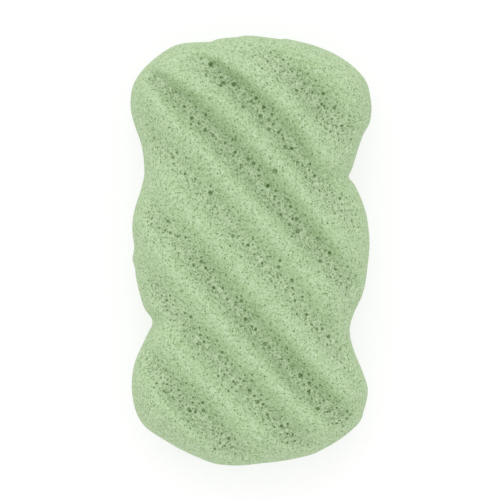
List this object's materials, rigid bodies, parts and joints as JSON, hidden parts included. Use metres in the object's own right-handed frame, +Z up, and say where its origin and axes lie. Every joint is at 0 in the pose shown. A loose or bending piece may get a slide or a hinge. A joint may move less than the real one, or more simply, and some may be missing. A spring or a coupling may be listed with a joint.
{
  "type": "body sponge",
  "caption": "Flat block of soft konjac foam for washing the body, with a lobed outline and diagonal waves across its upper face.",
  "frame": {"origin": "middle of the flat rest face on the underside, below the middle of the outline", "axes": "+Z up through the thickness to the waved face, +Y along the length, +X across the width"},
  "size_m": [0.0729, 0.1298, 0.0329],
  "materials": {
    "konjac_foam": "matt, moist, finely porous foam, pale green"
  },
  "bodies": {
    "root": {"sponge_body": "konjac_foam"}
  },
  "joints": []
}
